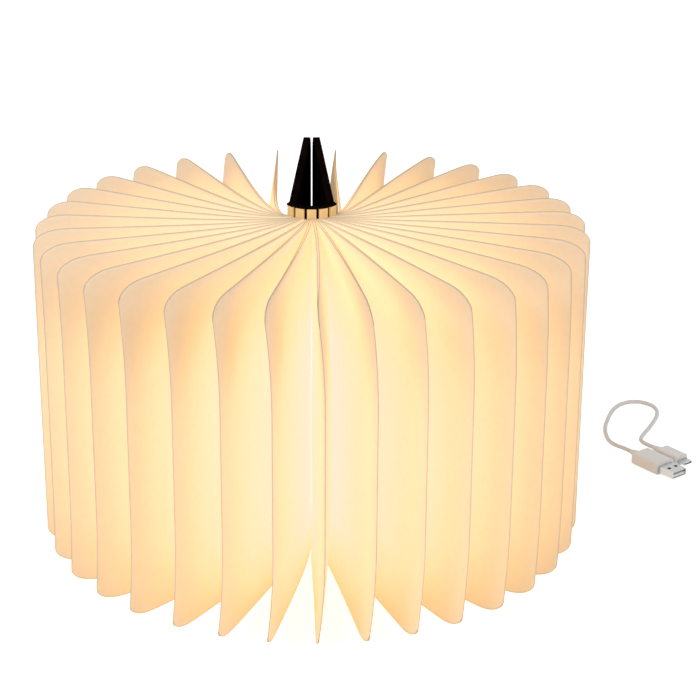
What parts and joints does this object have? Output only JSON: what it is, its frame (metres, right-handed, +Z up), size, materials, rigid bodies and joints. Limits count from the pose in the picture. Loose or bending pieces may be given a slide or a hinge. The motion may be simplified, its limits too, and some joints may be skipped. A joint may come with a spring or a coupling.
{
  "type": "folding book lamp",
  "caption": "Hard-backed book that opens right round on a slatted spine, so that its lit paper pleats stand in a full circle, with a separate charging cable.",
  "frame": {"origin": "centre of the opened lamp's footprint, cable left out, on the surface that it stands on", "axes": "+Z up along the spine, -Y towards the front pleat and away from the covers' fore-edges, +X to the right seen from the front"},
  "size_m": [0.4082, 0.3603, 0.21],
  "materials": {
    "pleat_paper": "translucent matt paper, lit warm from the spine",
    "cover_leather": "near-black imitation leather over board",
    "lining_paper": "dark brown end paper",
    "spine_cloth": "near-black imitation leather",
    "slat_wood": "pale matt wood",
    "led_strip": "matt",
    "magnet_nickel": "nickel plated",
    "battery_foil": "satin foil pouch",
    "board": "green solder mask",
    "cable_sheath": "soft light grey sheath",
    "plug_grip": "smooth white moulding",
    "plug_metal": "nickel plated steel"
  },
  "bodies": {
    "spine": {"slat_0": "slat_wood", "strip_0": "spine_cloth", "pleat_00": "pleat_paper", "cable_cord": "cable_sheath", "usb_a_grip": "plug_grip", "usb_a_shell": "plug_metal", "micro_b_grip": "plug_grip", "micro_b_shell": "plug_metal"},
    "right_segment_1": {"slat_r1": "slat_wood", "strip_r1": "spine_cloth", "right_led_strip": "led_strip"},
    "right_segment_2": {"slat_r2": "slat_wood", "strip_r2": "spine_cloth"},
    "right_cover": {"right_cover": "cover_leather", "right_lining": "lining_paper", "right_magnets": "magnet_nickel"},
    "pleat_r01": {"pleat_r01": "pleat_paper"},
    "pleat_r02": {"pleat_r02": "pleat_paper"},
    "pleat_r03": {"pleat_r03": "pleat_paper"},
    "pleat_r04": {"pleat_r04": "pleat_paper"},
    "pleat_r05": {"pleat_r05": "pleat_paper"},
    "pleat_r06": {"pleat_r06": "pleat_paper"},
    "pleat_r07": {"pleat_r07": "pleat_paper"},
    "pleat_r08": {"pleat_r08": "pleat_paper"},
    "pleat_r09": {"pleat_r09": "pleat_paper"},
    "pleat_r10": {"pleat_r10": "pleat_paper"},
    "pleat_r11": {"pleat_r11": "pleat_paper"},
    "pleat_r12": {"pleat_r12": "pleat_paper"},
    "pleat_r13": {"pleat_r13": "pleat_paper"},
    "pleat_r14": {"pleat_r14": "pleat_paper"},
    "pleat_r15": {"pleat_r15": "pleat_paper"},
    "pleat_r16": {"pleat_r16": "pleat_paper"},
    "left_segment_1": {"slat_l1": "slat_wood", "strip_l1": "spine_cloth", "left_led_strip": "led_strip"},
    "left_segment_2": {"slat_l2": "slat_wood", "strip_l2": "spine_cloth"},
    "left_cover": {"left_cover": "cover_leather", "left_lining": "lining_paper", "left_magnets": "magnet_nickel", "battery": "battery_foil", "circuit_board": "board", "charging_socket": "plug_metal", "led_lead": "led_strip"},
    "pleat_l01": {"pleat_l01": "pleat_paper"},
    "pleat_l02": {"pleat_l02": "pleat_paper"},
    "pleat_l03": {"pleat_l03": "pleat_paper"},
    "pleat_l04": {"pleat_l04": "pleat_paper"},
    "pleat_l05": {"pleat_l05": "pleat_paper"},
    "pleat_l06": {"pleat_l06": "pleat_paper"},
    "pleat_l07": {"pleat_l07": "pleat_paper"},
    "pleat_l08": {"pleat_l08": "pleat_paper"},
    "pleat_l09": {"pleat_l09": "pleat_paper"},
    "pleat_l10": {"pleat_l10": "pleat_paper"},
    "pleat_l11": {"pleat_l11": "pleat_paper"},
    "pleat_l12": {"pleat_l12": "pleat_paper"},
    "pleat_l13": {"pleat_l13": "pleat_paper"},
    "pleat_l14": {"pleat_l14": "pleat_paper"},
    "pleat_l15": {"pleat_l15": "pleat_paper"},
    "pleat_l16": {"pleat_l16": "pleat_paper"}
  },
  "joints": [
    {"name": "right_spine_hinge_1", "type": "hinge", "parent": "spine", "child": "right_segment_1", "pos_m": [0.00315, -0.00391, 0.105], "axis": [0, 0, -1], "range_deg": [0, 27.2]},
    {"name": "right_spine_hinge_2", "type": "hinge", "parent": "right_segment_1", "child": "right_segment_2", "pos_m": [0.00875, -0.00103, 0.105], "axis": [0, 0, -1], "range_deg": [0, 27.2]},
    {"name": "right_cover_hinge", "type": "hinge", "parent": "right_segment_2", "child": "right_cover", "pos_m": [0.01242, 0.00409, 0.105], "axis": [0, 0, -1], "range_deg": [0, 128.75], "deforming": ["pleat_00"]},
    {"name": "pleat_r01_fold", "type": "hinge", "parent": "spine", "child": "pleat_r01", "pos_m": [0.00088, -0.00691, 0.105], "axis": [0, 0, -1], "range_deg": [0, 10.41], "deforming": ["pleat_r01"]},
    {"name": "pleat_r02_fold", "type": "hinge", "parent": "spine", "child": "pleat_r02", "pos_m": [0.00176, -0.00691, 0.105], "axis": [0, 0, -1], "range_deg": [0, 20.83], "deforming": ["pleat_r02"]},
    {"name": "pleat_r03_fold", "type": "hinge", "parent": "spine", "child": "pleat_r03", "pos_m": [0.00264, -0.00691, 0.105], "axis": [0, 0, -1], "range_deg": [0, 31.28], "deforming": ["pleat_r03"]},
    {"name": "pleat_r04_fold", "type": "hinge", "parent": "right_segment_1", "child": "pleat_r04", "pos_m": [0.00498, -0.00635, 0.105], "axis": [0, 0, -1], "range_deg": [0, 14.59], "deforming": ["pleat_r04"]},
    {"name": "pleat_r05_fold", "type": "hinge", "parent": "right_segment_1", "child": "pleat_r05", "pos_m": [0.00576, -0.00595, 0.105], "axis": [0, 0, -1], "range_deg": [0, 25.17], "deforming": ["pleat_r05"]},
    {"name": "pleat_r06_fold", "type": "hinge", "parent": "right_segment_1", "child": "pleat_r06", "pos_m": [0.00654, -0.00554, 0.105], "axis": [0, 0, -1], "range_deg": [0, 35.83], "deforming": ["pleat_r06"]},
    {"name": "pleat_r07_fold", "type": "hinge", "parent": "right_segment_1", "child": "pleat_r07", "pos_m": [0.00732, -0.00514, 0.105], "axis": [0, 0, -1], "range_deg": [0, 46.59], "deforming": ["pleat_r07"]},
    {"name": "pleat_r08_fold", "type": "hinge", "parent": "right_segment_1", "child": "pleat_r08", "pos_m": [0.00811, -0.00474, 0.105], "axis": [0, 0, -1], "range_deg": [0, 57.48], "deforming": ["pleat_r08"]},
    {"name": "pleat_r09_fold", "type": "hinge", "parent": "right_segment_1", "child": "pleat_r09", "pos_m": [0.00889, -0.00434, 0.105], "axis": [0, 0, -1], "range_deg": [0, 68.51], "deforming": ["pleat_r09"]},
    {"name": "pleat_r10_fold", "type": "hinge", "parent": "right_segment_1", "child": "pleat_r10", "pos_m": [0.00967, -0.00393, 0.105], "axis": [0, 0, -1], "range_deg": [0, 79.69], "deforming": ["pleat_r10"]},
    {"name": "pleat_r11_fold", "type": "hinge", "parent": "right_segment_2", "child": "pleat_r11", "pos_m": [0.01149, -0.00236, 0.105], "axis": [0, 0, -1], "range_deg": [0, 63.84], "deforming": ["pleat_r11"]},
    {"name": "pleat_r12_fold", "type": "hinge", "parent": "right_segment_2", "child": "pleat_r12", "pos_m": [0.012, -0.00165, 0.105], "axis": [0, 0, -1], "range_deg": [0, 75.38], "deforming": ["pleat_r12"]},
    {"name": "pleat_r13_fold", "type": "hinge", "parent": "right_segment_2", "child": "pleat_r13", "pos_m": [0.01251, -0.00093, 0.105], "axis": [0, 0, -1], "range_deg": [0, 87.13], "deforming": ["pleat_r13"]},
    {"name": "pleat_r14_fold", "type": "hinge", "parent": "right_segment_2", "child": "pleat_r14", "pos_m": [0.01303, -0.00022, 0.105], "axis": [0, 0, -1], "range_deg": [0, 99.11], "deforming": ["pleat_r14"]},
    {"name": "pleat_r15_fold", "type": "hinge", "parent": "right_segment_2", "child": "pleat_r15", "pos_m": [0.01354, 0.0005, 0.105], "axis": [0, 0, -1], "range_deg": [0, 111.33], "deforming": ["pleat_r15"]},
    {"name": "pleat_r16_fold", "type": "hinge", "parent": "right_segment_2", "child": "pleat_r16", "pos_m": [0.01405, 0.00121, 0.105], "axis": [0, 0, -1], "range_deg": [0, 123.8], "deforming": ["pleat_r16"]},
    {"name": "left_spine_hinge_1", "type": "hinge", "parent": "spine", "child": "left_segment_1", "pos_m": [-0.00315, -0.00391, 0.105], "axis": [0, 0, 1], "range_deg": [0, 27.2]},
    {"name": "left_spine_hinge_2", "type": "hinge", "parent": "left_segment_1", "child": "left_segment_2", "pos_m": [-0.00875, -0.00103, 0.105], "axis": [0, 0, 1], "range_deg": [0, 27.2]},
    {"name": "left_cover_hinge", "type": "hinge", "parent": "left_segment_2", "child": "left_cover", "pos_m": [-0.01242, 0.00409, 0.105], "axis": [0, 0, 1], "range_deg": [0, 128.75]},
    {"name": "pleat_l01_fold", "type": "hinge", "parent": "spine", "child": "pleat_l01", "pos_m": [-0.00088, -0.00691, 0.105], "axis": [0, 0, 1], "range_deg": [0, 10.41], "deforming": ["pleat_l01"]},
    {"name": "pleat_l02_fold", "type": "hinge", "parent": "spine", "child": "pleat_l02", "pos_m": [-0.00176, -0.00691, 0.105], "axis": [0, 0, 1], "range_deg": [0, 20.83], "deforming": ["pleat_l02"]},
    {"name": "pleat_l03_fold", "type": "hinge", "parent": "spine", "child": "pleat_l03", "pos_m": [-0.00264, -0.00691, 0.105], "axis": [0, 0, 1], "range_deg": [0, 31.28], "deforming": ["pleat_l03"]},
    {"name": "pleat_l04_fold", "type": "hinge", "parent": "left_segment_1", "child": "pleat_l04", "pos_m": [-0.00498, -0.00635, 0.105], "axis": [0, 0, 1], "range_deg": [0, 14.59], "deforming": ["pleat_l04"]},
    {"name": "pleat_l05_fold", "type": "hinge", "parent": "left_segment_1", "child": "pleat_l05", "pos_m": [-0.00576, -0.00595, 0.105], "axis": [0, 0, 1], "range_deg": [0, 25.17], "deforming": ["pleat_l05"]},
    {"name": "pleat_l06_fold", "type": "hinge", "parent": "left_segment_1", "child": "pleat_l06", "pos_m": [-0.00654, -0.00554, 0.105], "axis": [0, 0, 1], "range_deg": [0, 35.83], "deforming": ["pleat_l06"]},
    {"name": "pleat_l07_fold", "type": "hinge", "parent": "left_segment_1", "child": "pleat_l07", "pos_m": [-0.00732, -0.00514, 0.105], "axis": [0, 0, 1], "range_deg": [0, 46.59], "deforming": ["pleat_l07"]},
    {"name": "pleat_l08_fold", "type": "hinge", "parent": "left_segment_1", "child": "pleat_l08", "pos_m": [-0.00811, -0.00474, 0.105], "axis": [0, 0, 1], "range_deg": [0, 57.48], "deforming": ["pleat_l08"]},
    {"name": "pleat_l09_fold", "type": "hinge", "parent": "left_segment_1", "child": "pleat_l09", "pos_m": [-0.00889, -0.00434, 0.105], "axis": [0, 0, 1], "range_deg": [0, 68.51], "deforming": ["pleat_l09"]},
    {"name": "pleat_l10_fold", "type": "hinge", "parent": "left_segment_1", "child": "pleat_l10", "pos_m": [-0.00967, -0.00393, 0.105], "axis": [0, 0, 1], "range_deg": [0, 79.69], "deforming": ["pleat_l10"]},
    {"name": "pleat_l11_fold", "type": "hinge", "parent": "left_segment_2", "child": "pleat_l11", "pos_m": [-0.01149, -0.00236, 0.105], "axis": [0, 0, 1], "range_deg": [0, 63.84], "deforming": ["pleat_l11"]},
    {"name": "pleat_l12_fold", "type": "hinge", "parent": "left_segment_2", "child": "pleat_l12", "pos_m": [-0.012, -0.00165, 0.105], "axis": [0, 0, 1], "range_deg": [0, 75.38], "deforming": ["pleat_l12"]},
    {"name": "pleat_l13_fold", "type": "hinge", "parent": "left_segment_2", "child": "pleat_l13", "pos_m": [-0.01251, -0.00093, 0.105], "axis": [0, 0, 1], "range_deg": [0, 87.13], "deforming": ["pleat_l13"]},
    {"name": "pleat_l14_fold", "type": "hinge", "parent": "left_segment_2", "child": "pleat_l14", "pos_m": [-0.01303, -0.00022, 0.105], "axis": [0, 0, 1], "range_deg": [0, 99.11], "deforming": ["pleat_l14"]},
    {"name": "pleat_l15_fold", "type": "hinge", "parent": "left_segment_2", "child": "pleat_l15", "pos_m": [-0.01354, 0.0005, 0.105], "axis": [0, 0, 1], "range_deg": [0, 111.33], "deforming": ["pleat_l15"]},
    {"name": "pleat_l16_fold", "type": "hinge", "parent": "left_segment_2", "child": "pleat_l16", "pos_m": [-0.01405, 0.00121, 0.105], "axis": [0, 0, 1], "range_deg": [0, 123.8], "deforming": ["pleat_l16"]}
  ],
  "couplings": [
    {"joint": "right_spine_hinge_1", "follows": "right_cover_hinge", "ratio": 0.21126},
    {"joint": "right_spine_hinge_2", "follows": "right_cover_hinge", "ratio": 0.21126},
    {"joint": "pleat_r01_fold", "follows": "right_cover_hinge", "ratio": 0.080799},
    {"joint": "pleat_r02_fold", "follows": "right_cover_hinge", "ratio": 0.16173},
    {"joint": "pleat_r03_fold", "follows": "right_cover_hinge", "ratio": 0.24293},
    {"joint": "pleat_r04_fold", "follows": "right_cover_hinge", "ratio": 0.11328},
    {"joint": "pleat_r05_fold", "follows": "right_cover_hinge", "ratio": 0.19542},
    {"joint": "pleat_r06_fold", "follows": "right_cover_hinge", "ratio": 0.27823},
    {"joint": "pleat_r07_fold", "follows": "right_cover_hinge", "ratio": 0.36185},
    {"joint": "pleat_r08_fold", "follows": "right_cover_hinge", "ratio": 0.44641},
    {"joint": "pleat_r09_fold", "follows": "right_cover_hinge", "ratio": 0.53204},
    {"joint": "pleat_r10_fold", "follows": "right_cover_hinge", "ratio": 0.61888},
    {"joint": "pleat_r11_fold", "follows": "right_cover_hinge", "ratio": 0.4958},
    {"joint": "pleat_r12_fold", "follows": "right_cover_hinge", "ratio": 0.58546},
    {"joint": "pleat_r13_fold", "follows": "right_cover_hinge", "ratio": 0.67673},
    {"joint": "pleat_r14_fold", "follows": "right_cover_hinge", "ratio": 0.76975},
    {"joint": "pleat_r15_fold", "follows": "right_cover_hinge", "ratio": 0.86464},
    {"joint": "pleat_r16_fold", "follows": "right_cover_hinge", "ratio": 0.96155},
    {"joint": "left_spine_hinge_1", "follows": "left_cover_hinge", "ratio": 0.21126},
    {"joint": "left_spine_hinge_2", "follows": "left_cover_hinge", "ratio": 0.21126},
    {"joint": "pleat_l01_fold", "follows": "left_cover_hinge", "ratio": 0.080799},
    {"joint": "pleat_l02_fold", "follows": "left_cover_hinge", "ratio": 0.16173},
    {"joint": "pleat_l03_fold", "follows": "left_cover_hinge", "ratio": 0.24293},
    {"joint": "pleat_l04_fold", "follows": "left_cover_hinge", "ratio": 0.11328},
    {"joint": "pleat_l05_fold", "follows": "left_cover_hinge", "ratio": 0.19542},
    {"joint": "pleat_l06_fold", "follows": "left_cover_hinge", "ratio": 0.27823},
    {"joint": "pleat_l07_fold", "follows": "left_cover_hinge", "ratio": 0.36185},
    {"joint": "pleat_l08_fold", "follows": "left_cover_hinge", "ratio": 0.44641},
    {"joint": "pleat_l09_fold", "follows": "left_cover_hinge", "ratio": 0.53204},
    {"joint": "pleat_l10_fold", "follows": "left_cover_hinge", "ratio": 0.61888},
    {"joint": "pleat_l11_fold", "follows": "left_cover_hinge", "ratio": 0.4958},
    {"joint": "pleat_l12_fold", "follows": "left_cover_hinge", "ratio": 0.58546},
    {"joint": "pleat_l13_fold", "follows": "left_cover_hinge", "ratio": 0.67673},
    {"joint": "pleat_l14_fold", "follows": "left_cover_hinge", "ratio": 0.76975},
    {"joint": "pleat_l15_fold", "follows": "left_cover_hinge", "ratio": 0.86464},
    {"joint": "pleat_l16_fold", "follows": "left_cover_hinge", "ratio": 0.96155}
  ]
}
